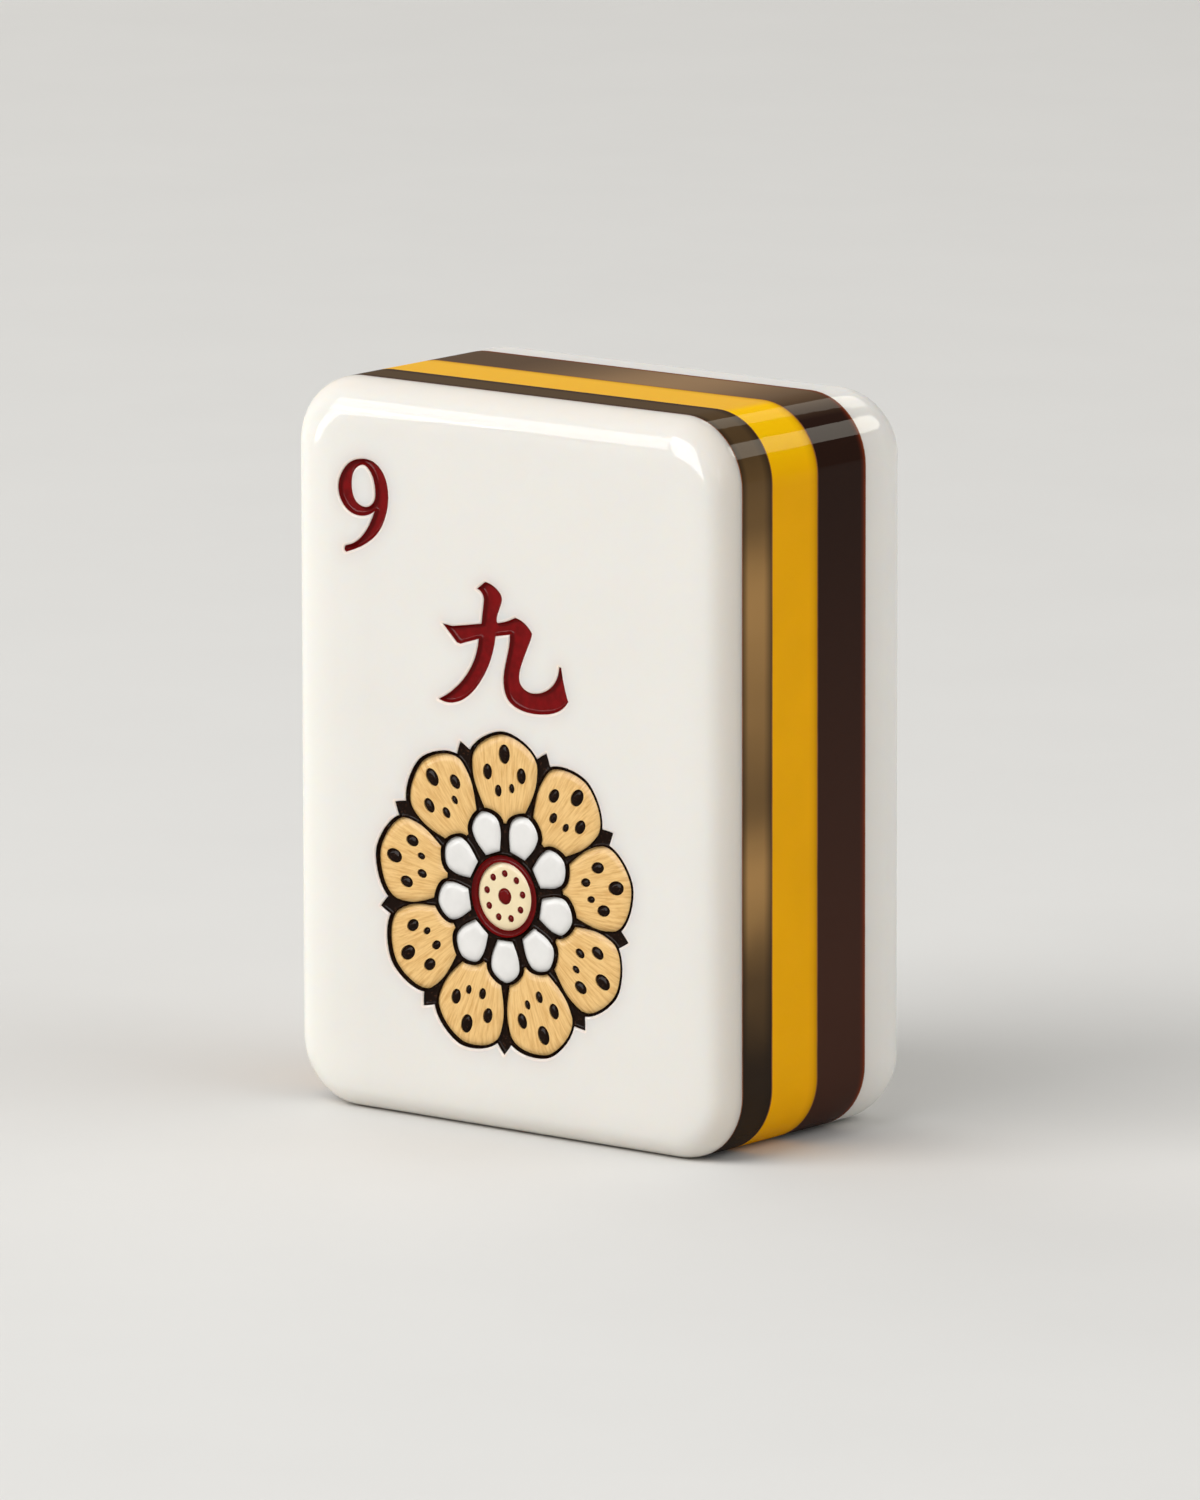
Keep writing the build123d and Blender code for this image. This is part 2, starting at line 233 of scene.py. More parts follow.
class Studio(bpy.types.PropertyGroup):
    """Camera, lights and floor."""

    floor: colour("Floor", "Plain pale floor", (0.748, 0.740, 0.718))
    surround: colour("Surround", "Light that comes from all round", (0.80, 0.795, 0.785))
    surround_strength: number("Surround strength", "Brightness of the surround", 0.41)
    key_power: number("Key power", "Watts of the large light before the tile, on the left", 4.25)
    high_power: number("High power", "Watts of the high light before the tile", 2.2)
    left_power: number("Left power", "Watts of the warm light behind the tile, on the left", 1.8)
    fill_power: number("Fill power", "Watts of the broad light on the right", 1.7)
    back_power: number("Back power", "Watts of the light behind the tile, on the right", 0.8)
    band_power: number("Band power", "Watts of the card mirrored along the face's top edge", 1.05)
    blob_power: number("Blob power", "Watts of the card mirrored in the face's top right corner", 9.5)
    corner_power: number("Corner power", "Watts of the card mirrored in the face's top left corner", 0.024)
    glint_power: number("Glint power", "Watts of the card mirrored low in the top right corner", 0.30)
    upper_power: number("Upper band power", "Watts of the card mirrored high in the right corner", 0.30)
    lower_power: number("Lower band power", "Watts of the card mirrored below the upper one", 0.81)
    azimuth: angle("Camera azimuth", "Turn of the camera round the tile", 38.5408)
    elevation: angle("Camera elevation", "Height of the camera above the horizon", 10.3922)
    roll: angle("Camera roll", "Tilt of the picture", -0.1027)
    distance: length("Camera distance", "From the middle of the tile", 579.5)
    shift_right: FloatProperty(name="Aim right", description="Camera's sideways offset", default=-0.2302 * MM)
    shift_up: FloatProperty(name="Aim up", description="Camera's upward offset", default=-0.1871 * MM)
    lens: number("Lens", "Focal length in millimetres", 344.15)


# ---------------------------------------------------------------- node trees


def add_node(tree, kind, **settings):
    """A new node; a setting is a property of the node, or an input's value by its name or number."""
    node = tree.nodes.new(kind)
    values = settings.pop("values", {})
    for key, value in settings.items():
        setattr(node, key, value)
    for key, value in values.items():
        node.inputs[key].default_value = value
    return node


def wire(tree, *pairs):
    """Links each (output, input) pair."""
    for output, into in pairs:
        tree.links.new(output, into)


def new_tree(name, inputs):
    """A geometry tree with the given inputs, its Group Input and its Group Output."""
    tree = bpy.data.node_groups.new(name, "GeometryNodeTree")
    for label, kind in inputs.items():
        tree.interface.new_socket(label, in_out="INPUT", socket_type="NodeSocket" + kind)
    tree.interface.new_socket("Mesh", in_out="OUTPUT", socket_type="NodeSocketGeometry")
    return tree, tree.nodes.new("NodeGroupInput").outputs, tree.nodes.new("NodeGroupOutput").inputs


def finish_tree(tree, geometry, material, output):
    """Ends a tree in Realize Instances and Set Material."""
    realized = add_node(tree, "GeometryNodeRealizeInstances")
    coated = add_node(tree, "GeometryNodeSetMaterial")
    wire(
        tree,
        (geometry, realized.inputs["Geometry"]),
        (realized.outputs["Geometry"], coated.inputs["Geometry"]),
        (material, coated.inputs["Material"]),
        (coated.outputs["Geometry"], output["Mesh"]),
    )


def math_node(tree, operation, first, second):
    """A Math node on two sockets or numbers; gives its output."""
    node = add_node(tree, "ShaderNodeMath", operation=operation)
    for slot, value in enumerate((first, second)):
        if isinstance(value, (int, float)):
            node.inputs[slot].default_value = value
        else:
            wire(tree, (value, node.inputs[slot]))
    return node.outputs["Value"]


def rounded_outline(tree, width, height, radius, steps):
    """Curve nodes for a rounded rectangle; gives the curve's output."""
    rectangle = add_node(tree, "GeometryNodeCurvePrimitiveQuadrilateral", mode="RECTANGLE")
    bent = add_node(tree, "GeometryNodeCurveSplineType", spline_type="BEZIER")
    corners = add_node(tree, "GeometryNodeFilletCurve", mode="BEZIER")
    smooth = add_node(tree, "GeometryNodeSetSplineResolution")
    wire(
        tree,
        (width, rectangle.inputs["Width"]),
        (height, rectangle.inputs["Height"]),
        (rectangle.outputs["Curve"], bent.inputs["Curve"]),
        (bent.outputs["Curve"], corners.inputs["Curve"]),
        (radius, corners.inputs["Radius"]),
        (corners.outputs["Curve"], smooth.inputs["Geometry"]),
        (steps, smooth.inputs["Resolution"]),
    )
    return smooth.outputs["Geometry"]


def end_cap(tree, walls, depth):
    """Nodes for a flat end of a layer: the walls' open edge at a depth, filled."""
    neighbours = add_node(tree, "GeometryNodeInputMeshEdgeNeighbors")
    is_open = math_node(tree, "COMPARE", neighbours.outputs["Face Count"], 1.0)
    position = add_node(tree, "GeometryNodeInputPosition")
    parts = add_node(tree, "ShaderNodeSeparateXYZ")
    is_near = add_node(tree, "ShaderNodeMath", operation="COMPARE", values={2: 0.01 * MM})
    edge = add_node(tree, "GeometryNodeMeshToCurve")
    fill = add_node(tree, "GeometryNodeFillCurve", mode="NGONS")
    place = add_node(tree, "ShaderNodeCombineXYZ")
    move = add_node(tree, "GeometryNodeTransform")
    wire(
        tree,
        (position.outputs["Position"], parts.inputs["Vector"]),
        (parts.outputs["Z"], is_near.inputs[0]),
        (depth, is_near.inputs[1]),
        (walls, edge.inputs["Mesh"]),
        (math_node(tree, "MULTIPLY", is_open, is_near.outputs["Value"]), edge.inputs["Selection"]),
        (edge.outputs["Curve"], fill.inputs["Curve"]),
        (depth, place.inputs["Z"]),
        (fill.outputs["Mesh"], move.inputs["Geometry"]),
        (place.outputs["Vector"], move.inputs["Translation"]),
    )
    return move.outputs["Geometry"]


def layer_tree():
    """Sweeps a layer's edge profile round the tile's outline and closes its flat ends."""
    inputs = {
        "Edge profile": "Geometry",
        "Width": "Float",
        "Height": "Float",
        "Corner radius": "Float",
        "Corner steps": "Int",
        "Front depth": "Float",
        "Back depth": "Float",
        "Open front": "Bool",
        "Material": "Material",
    }
    tree, given, output = new_tree("Tile layer", inputs)
    outline = rounded_outline(
        tree, given["Width"], given["Height"], given["Corner radius"], given["Corner steps"]
    )
    level = add_node(tree, "GeometryNodeSetCurveNormal", mode="Z_UP")
    profile = add_node(tree, "GeometryNodeMeshToCurve")
    sweep = add_node(tree, "GeometryNodeCurveToMesh")
    front = end_cap(tree, sweep.outputs["Mesh"], given["Front depth"])
    back = end_cap(tree, sweep.outputs["Mesh"], given["Back depth"])
    choice = add_node(tree, "GeometryNodeSwitch", input_type="GEOMETRY")
    joined = add_node(tree, "GeometryNodeJoinGeometry")
    weld = add_node(tree, "GeometryNodeMergeByDistance", values={"Distance": 0.002 * MM})
    upright = add_node(tree, "GeometryNodeTransform", values={"Rotation": (pi / 2, 0, 0)})
    lift = add_node(tree, "ShaderNodeCombineXYZ")
    wire(
        tree,
        (outline, level.inputs["Curve"]),
        (given["Edge profile"], profile.inputs["Mesh"]),
        (level.outputs["Curve"], sweep.inputs["Curve"]),
        (profile.outputs["Curve"], sweep.inputs["Profile Curve"]),
        (given["Open front"], choice.inputs["Switch"]),
        (front, choice.inputs["False"]),
        (sweep.outputs["Mesh"], joined.inputs["Geometry"]),
        (choice.outputs["Output"], joined.inputs["Geometry"]),
        (back, joined.inputs["Geometry"]),
        (joined.outputs["Geometry"], weld.inputs["Geometry"]),
        (weld.outputs["Geometry"], upright.inputs["Geometry"]),
        (math_node(tree, "MULTIPLY", given["Height"], 0.5), lift.inputs["Z"]),
        (lift.outputs["Vector"], upright.inputs["Translation"]),
    )
    finish_tree(tree, upright.outputs["Geometry"], given["Material"], output)
    return tree


def rosette_tree():
    """Repeats one cell of enamel round the rosette's centre."""
    inputs = {"Cell": "Geometry", "Count": "Int", "Centre": "Vector", "Material": "Material"}
    tree, given, output = new_tree("Rosette", inputs)
    outward = add_node(tree, "ShaderNodeVectorMath", operation="SCALE", values={"Scale": -1.0})
    centred = add_node(tree, "GeometryNodeTransform")
    points = add_node(tree, "GeometryNodePoints")
    index = add_node(tree, "GeometryNodeInputIndex")
    step = math_node(tree, "DIVIDE", tau, given["Count"])
    turn = math_node(tree, "MULTIPLY", index.outputs["Index"], step)
    rotation = add_node(tree, "ShaderNodeCombineXYZ")
    place = add_node(tree, "GeometryNodeInstanceOnPoints")
    wire(
        tree,
        (given["Centre"], outward.inputs["Vector"]),
        (given["Cell"], centred.inputs["Geometry"]),
        (outward.outputs["Vector"], centred.inputs["Translation"]),
        (given["Count"], points.inputs["Count"]),
        (given["Centre"], points.inputs["Position"]),
        (turn, rotation.inputs["Y"]),
        (points.outputs["Points"], place.inputs["Points"]),
        (centred.outputs["Geometry"], place.inputs["Instance"]),
        (rotation.outputs["Vector"], place.inputs["Rotation"]),
    )
    finish_tree(tree, place.outputs["Instances"], given["Material"], output)
    return tree


def grow(piece, tree, values):
    """Runs a geometry tree on a piece and keeps the result as its plain mesh."""
    modifier = piece.modifiers.new(tree.name, "NODES")
    modifier.node_group = tree
    for socket in tree.interface.items_tree:
        if socket.name in values:
            modifier[socket.identifier] = values[socket.name]
    depsgraph = bpy.context.evaluated_depsgraph_get()
    depsgraph.update()
    mesh = bpy.data.meshes.new_from_object(
        piece.evaluated_get(depsgraph), preserve_all_data_layers=True, depsgraph=depsgraph
    )
    piece.modifiers.remove(modifier)
    piece.data = mesh


# ---------------------------------------------------------------- outlines and meshes


def front_outlines(node):
    """The closed outlines of a node's flat front as (x, z) arrays, with the material on their left."""
    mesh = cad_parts[node].data
    corners = np.array([vertex.co for vertex in mesh.vertices]) / MM
    front = corners[:, 1].min()
    fineness = 1000.0
    places, keys, numbers = [], {}, []
    for corner in corners:
        key = tuple(np.round(corner * fineness).astype(int))
        if key not in keys:
            keys[key] = len(places)
            places.append(corner[[0, 2]])
        numbers.append(keys[key])
    sides = set()
    for polygon in mesh.polygons:
        ring = [numbers[index] for index in polygon.vertices]
        if all(abs(corners[index][1] - front) < 1 / fineness for index in polygon.vertices):
            sides.update(zip(ring, ring[1:] + ring[:1]))
    following = {start: end for start, end in sides if (end, start) not in sides}
    outlines = []
    while following:
        start = min(following)
        loop, now = [start], following.pop(start)
        while now != start:
            loop.append(now)
            now = following.pop(now)
        outlines.append(np.array([places[number] for number in loop]))
    return outlines


def area(loop):
    """Signed area of an outline; a hole's is negative."""
    x, z = loop.T
    return float(np.dot(x, np.roll(z, -1)) - np.dot(np.roll(x, -1), z)) / 2


def segments(loops):
    """Start and end points of every side of the outlines."""
    starts = np.vstack(loops)
    ends = np.vstack([np.roll(loop, -1, axis=0) for loop in loops])
    return starts, ends


def is_inside(points, loops):
    """Which points lie inside the outlines, by the even-odd rule."""
    starts, ends = segments(loops)
    result = np.zeros(len(points), bool)
    for (x1, z1), (x2, z2) in zip(starts, ends):
        if z1 != z2:
            spans = (z1 > points[:, 1]) != (z2 > points[:, 1])
            result ^= spans & (points[:, 0] < x1 + (points[:, 1] - z1) * (x2 - x1) / (z2 - z1))
    return result


def edge_distance(points, loops):
    """Distance from each point to the nearest outline."""
    starts, ends = segments(loops)
    along = ends - starts
    squared = (along**2).sum(1)
    nearest = np.full(len(points), np.inf)
    for block in range(0, len(points), 1000):
        some = points[block : block + 1000, None]
        share = np.clip(((some - starts) * along).sum(2) / squared, 0, 1)
        gaps = some - starts - share[..., None] * along
        nearest[block : block + 1000] = np.sqrt((gaps**2).sum(2).min(1))
    return nearest


def cells_of(node):
    """The separate cells of a node's front, each as its outer outline followed by its holes."""
    outlines = front_outlines(node)
    outer = [loop for loop in outlines if area(loop) > 0]
    holes = [loop for loop in outlines if area(loop) < 0]
    return [[loop] + [hole for hole in holes if is_inside(hole[:1], [loop])[0]] for loop in outer]


def middle(loop):
    """Centre of an outline's box."""
    return (loop.min(0) + loop.max(0)) / 2


def rings(loops, distances, spacing):
    """Points in rows beside the outlines, on their left, at each distance from the nearest of them."""
    fan_step = radians(20)
    kept_share = 0.985  # a point this much nearer to another outline than to its own is left out
    same_share = 0.45  # points closer than this share of the spacing are one
    rows = []
    for loop in loops:
        forward = np.roll(loop, -1, axis=0) - loop
        lengths = np.hypot(*forward.T)
        leaving = forward / lengths[:, None]
        arriving = np.roll(leaving, 1, axis=0)
        for start, step, span, unit, before in zip(loop, forward, lengths, leaving, arriving):
            normal = np.array([-unit[1], unit[0]])
            count = max(1, round(span / spacing))
            for share in np.arange(count) / count:
                rows.append((start + step * share, normal))
            turn = np.arctan2(before[0] * unit[1] - before[1] * unit[0], before @ unit)
            for part in range(1, int(-turn / fan_step) + 1):
                swing = -turn - part * fan_step
                rows.append((start, np.array([
                    normal[0] * cos(swing) - normal[1] * sin(swing),
                    normal[0] * sin(swing) + normal[1] * cos(swing),
                ])))
    bases = np.array([base for base, _ in rows])
    normals = np.array([normal for _, normal in rows])
    chosen = []
    for distance in distances:
        points = bases + normals * distance
        points = points[edge_distance(points, loops) > distance * kept_share]
        grid = np.round(points / (spacing * same_share)).astype(int)
        _, first = np.unique(grid, axis=0, return_index=True)
        chosen.append(points[np.sort(first)])
    return np.vstack(chosen)


def triangulate(loops, extra):
    """Triangles that fill the outlines: their points and, counter-clockwise, their corners."""
    points = np.vstack([*loops, extra]) if len(extra) else np.vstack(loops)
    edges, base = [], 0
    for loop in loops:
        count = len(loop)
        edges += [(base + i, base + (i + 1) % count) for i in range(count)]
        base += count
    found = delaunay_2d_cdt([Vector(point) for point in points], edges, [], 0, 1e-5)
    places = np.array([tuple(point) for point in found[0]])
    faces = np.array([tuple(face) for face in found[2]])
    keep = is_inside(places[faces].mean(1), loops)
    return places, faces[keep]


def rim_edges(faces):
    """The sides that only one triangle has, in the triangle's own direction."""
    sides = {(face[i], face[(i + 1) % 3]) for face in faces for i in range(3)}
    return [side for side in sorted(sides) if (side[1], side[0]) not in sides]


def new_piece(name, places, faces, attributes=None):
    """A smooth-shaded object from places in millimetres, linked to the scene."""
    mesh = bpy.data.meshes.new(name)
    mesh.from_pydata([Vector(place) * MM for place in places], [], [tuple(face) for face in faces])
    for label, values in (attributes or {}).items():
        mesh.attributes.new(label, "FLOAT", "POINT").data.foreach_set("value", values)
    mesh.validate()
    piece = bpy.data.objects.new(name, mesh)
    bpy.context.scene.collection.objects.link(piece)
    return piece


def floor_faces(points, sides, loops):
    """Triangles between the border points alone."""
    found = delaunay_2d_cdt([Vector(point) for point in points], sides, [], 0, 1e-6)
    places = np.array([tuple(point) for point in found[0]])
    faces = np.array([tuple(face) for face in found[2]])
    origin = [sources[0] for sources in found[3]]
    keep = is_inside(places[faces].mean(1), loops)
    return [tuple(origin[corner] for corner in face) for face in faces[keep]]


def sink_border(places, border, first, loops):
    """Walls from a border down to a pocket's floor, whose points are numbered from first on."""
    around = sorted({corner for side in border for corner in side})
    order = {corner: number for number, corner in enumerate(around)}
    floor = [(places[corner][0], POCKET_Y, places[corner][1]) for corner in around]
    walls = [(start, first + order[start], first + order[end], end) for start, end in border]
    sides = [(order[start], order[end]) for start, end in border]
    triangles = floor_faces(places[around], sides, loops)
    bottom = [tuple(first + corner for corner in triangle) for triangle in triangles]
    return floor, walls, bottom


def closed_fill(name, loops, places, faces, gaps, profile):
    """A closed body of enamel: a top shaped by its points' gaps, walls and a flat floor."""
    tops = [(x, ENAMEL_Y + profile(gap), z) for (x, z), gap in zip(places, gaps)]
    floor, walls, bottom = sink_border(places, rim_edges(faces), len(tops), loops)
    under = [triangle[::-1] for triangle in bottom]
    bodies = [tuple(face) for face in faces]
    from_edge = list(gaps) + [0.0] * len(floor)
    return new_piece(name, tops + floor, bodies + walls + under, {"edge_distance": from_edge})


def enamel_cell(name, loops, profile, distances, spacing):
    """A fill whose top follows the distance from the nearest of its outlines."""
    places, faces = triangulate(loops, rings(loops, distances, spacing))
    gaps = edge_distance(places, loops)
    gaps[gaps < ON_EDGE] = 0.0
    return closed_fill(name, loops, places, faces, gaps, profile)


def petal(name, cell, profile, distances):
    """A fill whose swell follows its outer outline alone, not the holes for its spots."""
    outer = cell[0]
    near = rings([outer], distances, PETAL_SPACING)
    if len(cell) > 1:
        near = near[is_inside(near, cell)]
        near = near[edge_distance(near, cell[1:]) > HOLE_MARGIN]
    places, faces = triangulate(cell, near)
    return closed_fill(name, cell, places, faces, edge_distance(places, [outer]), profile)


def settle(piece, material, slot, *nodes):
    """Gives a piece its finish and shading, and lets it stand for its nodes on the tile."""
    mesh = piece.data
    mesh.materials.clear()
    mesh.materials.append(material)
    mesh.shade_smooth()
    mesh.set_sharp_from_angle(angle=radians(SHARP_EDGE))
    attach(piece, "root")
    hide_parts(*nodes)
    return piece


def face_outwards(piece):
    """Turns every face of a closed piece outwards."""
    body = bmesh.new()
    body.from_mesh(piece.data)
    bmesh.ops.recalc_face_normals(body, faces=body.faces)
    body.to_mesh(piece.data)
    body.free()


# ---------------------------------------------------------------- materials


def new_material(name, **fixed):
    """A material and its shader, with the shader's constant inputs set."""
    material = bpy.data.materials.new(name)
    material.use_nodes = True
    shader = material.node_tree.nodes["Principled BSDF"]
    for label, value in fixed.items():
        shader.inputs[label.replace("_", " ")].default_value = value
    return material, material.node_tree, shader


def rgba(value):
    """A colour with full alpha."""
    return (*value, 1.0)


def object_place(tree, offset=(0.0, 0.0, 0.0)):
    """Object coordinates, scaled to millimetres and then moved."""
    source = add_node(tree, "ShaderNodeTexCoord")
    mapping = add_node(tree, "ShaderNodeMapping", values={"Scale": (1 / MM,) * 3, "Location": offset})
    wire(tree, (source.outputs["Object"], mapping.inputs["Vector"]))
    return mapping.outputs["Vector"]


def noise(tree, place, scale, detail=3.0, roughness=0.5):
    """A noise texture's factor."""
    texture = add_node(
        tree,
        "ShaderNodeTexNoise",
        values={"Scale": scale, "Detail": detail, "Roughness": roughness},
    )
    wire(tree, (place, texture.inputs["Vector"]))
    return texture.outputs["Fac"]


def ramp(tree, factor, stops, smooth="LINEAR"):
    """A colour ramp through (position, colour) stops."""
    node = add_node(tree, "ShaderNodeValToRGB")
    elements = node.color_ramp.elements
    node.color_ramp.interpolation = smooth
    elements[0].position, elements[0].color = stops[0][0], rgba(stops[0][1])
    elements[1].position, elements[1].color = stops[-1][0], rgba(stops[-1][1])
    for position, value in stops[1:-1]:
        elements.new(position).color = rgba(value)
    wire(tree, (factor, node.inputs["Fac"]))
    return node.outputs["Color"]


def share_ramp(tree, factor, *stops, smooth="LINEAR"):
    """A grey ramp through (position, share) stops."""
    return ramp(tree, factor, [(position, (share, share, share)) for position, share in stops], smooth)


def spread(tree, value, low, high):
    """Maps a value from low..high to 0..1 and clamps it."""
    node = add_node(tree, "ShaderNodeMapRange", values={"From Min": low, "From Max": high})
    wire(tree, (value, node.inputs["Value"]))
    return node.outputs["Result"]


def blend(tree, factor, first, second):
    """Mixes two colours, each a socket or a value."""
    node = add_node(tree, "ShaderNodeMix", data_type="RGBA")
    for label, value in ((0, factor), (6, first), (7, second)):
        if isinstance(value, (int, float)):
            node.inputs[label].default_value = value
        elif isinstance(value, bpy.types.NodeSocket):
            wire(tree, (value, node.inputs[label]))
        else:
            node.inputs[label].default_value = rgba(value)
    return node.outputs[2]


def axes(tree, place):
    """The X, Y and Z of a vector."""
    node = add_node(tree, "ShaderNodeSeparateXYZ")
    wire(tree, (place, node.inputs["Vector"]))
    return node.outputs


def bump(tree, shader, height, strength, distance):
    """Raises a shader's surface by a height pattern; distance is in metres."""
    node = add_node(tree, "ShaderNodeBump", values={"Strength": strength, "Distance": distance})
    wire(
        tree,
        (height, node.inputs["Height"]),
        (node.outputs["Normal"], shader.inputs["Normal"]),
        (node.outputs["Normal"], shader.inputs["Coat Normal"]),
    )


def attribute(tree, name):
    """A mesh attribute's value."""
    node = add_node(tree, "ShaderNodeAttribute", attribute_name=name)
    return node.outputs["Fac"]


def polished(tree, shader, place):
    """The faint waves that buffing leaves on a plastic."""
    waves = noise(tree, place, 1.4, detail=1.0)
    bump(tree, shader, waves, 0.05, 0.02 * MM)


def coated(name, polish, smoothness, **fixed):
    """A material whose gloss comes from its coat alone: the polish is its strength."""
    return new_material(
        name, Specular_IOR_Level=0.0, Coat_Weight=polish, Coat_Roughness=smoothness, **fixed
    )


def ivory_plastic(finish):
    """Milky plastic, painted lighter on its left edge as painted light, and painted darker and warmer near
    its seams as painted shade where the dark layers would show through.
    """
    painted_left_light_reach = 4.0
    seam_shade_reach = 1.25
    back_painted_seam_shade = 0.14
    seam_y, back_seam_y = back_of("front_slab"), front_of("back_slab")
    material, tree, shader = coated(
        "Ivory plastic",
        0.5,
        0.025,
        Subsurface_Weight=0.5,
        Subsurface_Radius=(1.0, 0.8, 0.6),
        Subsurface_Scale=1.0 * MM,
    )
    place = object_place(tree)
    parts = axes(tree, place)
    depth = parts["Y"]
    in_front = math_node(tree, "LESS_THAN", depth, 0.0)
    at_back = math_node(tree, "GREATER_THAN", depth, 0.0)
    cloud = noise(tree, place, 0.16, detail=2.0)
    clouded = ramp(tree, cloud, [(0.3, finish.ivory), (0.7, [part * 0.98 for part in finish.ivory])])
    # Painted light: the front slab is painted lighter towards its left edge, where the left light would
    # gather.
    left = spread(tree, parts["X"], LEFT_X + painted_left_light_reach, LEFT_X)
    painted_left_light = share_ramp(tree, left, (0.0, 0.0), (0.4, 0.16), (0.7, 0.46), (0.85, 0.80), (1.0, 1.0))
    with_painted_left_light = blend(tree, math_node(tree, "MULTIPLY", painted_left_light, in_front), clouded, finish.ivory_painted_left_light)
    # Painted shade: the ivory darkens to tan towards the smoky layer in front and the brown layer at the
    # back.
    near_seam = spread(tree, depth, seam_y - seam_shade_reach, seam_y)
    painted_seam_shade = share_ramp(tree, near_seam, (0.0, 0.0), (0.25, 0.16), (0.7, 0.32), (1.0, 0.50))
    front_painted_seam_shade = math_node(tree, "MULTIPLY", painted_seam_shade, in_front)
    near_back_seam = spread(tree, depth, back_seam_y + seam_shade_reach, back_seam_y)
    behind = math_node(tree, "MULTIPLY", near_back_seam, back_painted_seam_shade)
    both = math_node(tree, "MAXIMUM", front_painted_seam_shade, math_node(tree, "MULTIPLY", behind, at_back))
    with_painted_seam_shade = blend(tree, both, with_painted_left_light, finish.ivory_painted_seam_shade)
    nearness = attribute(tree, "near_engraving")
    # Painted shade: the ivory is tinted darker close round each pocket.
    painted_halo_shade = share_ramp(tree, nearness, (0.0, 0.0), (0.5, 0.16), (0.8, 0.36), (1.0, 0.5))
    # Painted highlight: the rim round each pocket is painted lighter.
    rim = share_ramp(tree, nearness, (0.85, 0.0), (0.885, 0.8), (1.0, 1.0))
    tinted = blend(tree, painted_halo_shade, with_painted_seam_shade, finish.painted_halo_shade)
    wire(tree, (blend(tree, rim, tinted, finish.rim), shader.inputs["Base Color"]))
    polished(tree, shader, place)
    return material


def smoke_plastic(finish):
    """Smoky brown plastic with bands of lighter and darker brown across its height; the slight lightening at
    its top end is a painted reflection.
    """
    material, tree, shader = coated("Smoke plastic", 0.2, 0.02)
    place = object_place(tree)
    parts = axes(tree, place)
    sway = math_node(tree, "MULTIPLY", noise(tree, place, 0.22, detail=2.0), 2.4)
    height = math_node(tree, "DIVIDE", math_node(tree, "ADD", parts["Z"], sway), TILE_HEIGHT)
    # Bands of lighter and darker brown across the height; the last stop, at the top end, is raised as a
    # painted reflection of the light above.
    bands = share_ramp(
        tree,
        height,
        (0.16, 0.02),
        (0.27, 0.20),
        (0.41, 1.0),
        (0.53, 0.40),
        (0.66, 0.68),
        (0.79, 0.95),
        (0.90, 0.36),
        (1.0, 0.16),
        smooth="EASE",
    )
    base = blend(tree, bands, finish.smoke_dark, finish.smoke_light)
    front, back = front_of("smoke_layer"), back_of("smoke_layer")
    near_front = spread(tree, parts["Y"], front + 0.35, front)
    near_back = spread(tree, parts["Y"], back - 0.5, back)
    edges = math_node(tree, "MULTIPLY", math_node(tree, "MAXIMUM", near_front, near_back), 0.75)
    wire(tree, (blend(tree, edges, base, finish.smoke_dark), shader.inputs["Base Color"]))
    polished(tree, shader, place)
    return material


def amber_plastic(finish):
    """Clear yellow plastic that deepens against the brown layer, with painted light on its top corners and
    flat top.
    """
    material, tree, shader = coated(
        "Amber plastic",
        0.14,
        0.02,
        Subsurface_Weight=0.12,
        Subsurface_Radius=(1.2, 0.5, 0.02),
        Subsurface_Scale=0.5 * MM,
    )
    place = object_place(tree)
    parts = axes(tree, place)
    back = back_of("amber_layer")
    deepening = spread(tree, parts["Y"], back - 0.55, back)
    depth = share_ramp(tree, deepening, (0.0, 0.0), (0.6, 0.25), (1.0, 0.9))
    cloud = noise(tree, place, 0.25, detail=2.0)
    clouded = ramp(tree, cloud, [(0.3, finish.amber), (0.7, [part * 0.93 for part in finish.amber])])
    # Painted light: the top corners and the flat top end get their own lighter colours.
    painted_light_end = spread(tree, parts["Z"], TILE_HEIGHT - 3.0, TILE_HEIGHT - 1.2)
    lit = blend(tree, painted_light_end, clouded, finish.amber_painted_top_light)
    flat_end = spread(tree, parts["Z"], TILE_HEIGHT - 0.08, TILE_HEIGHT - 0.01)
    topped = blend(tree, flat_end, lit, finish.amber_painted_flat_top)
    wire(tree, (blend(tree, depth, topped, finish.amber_deep), shader.inputs["Base Color"]))
    polished(tree, shader, place)
    return material


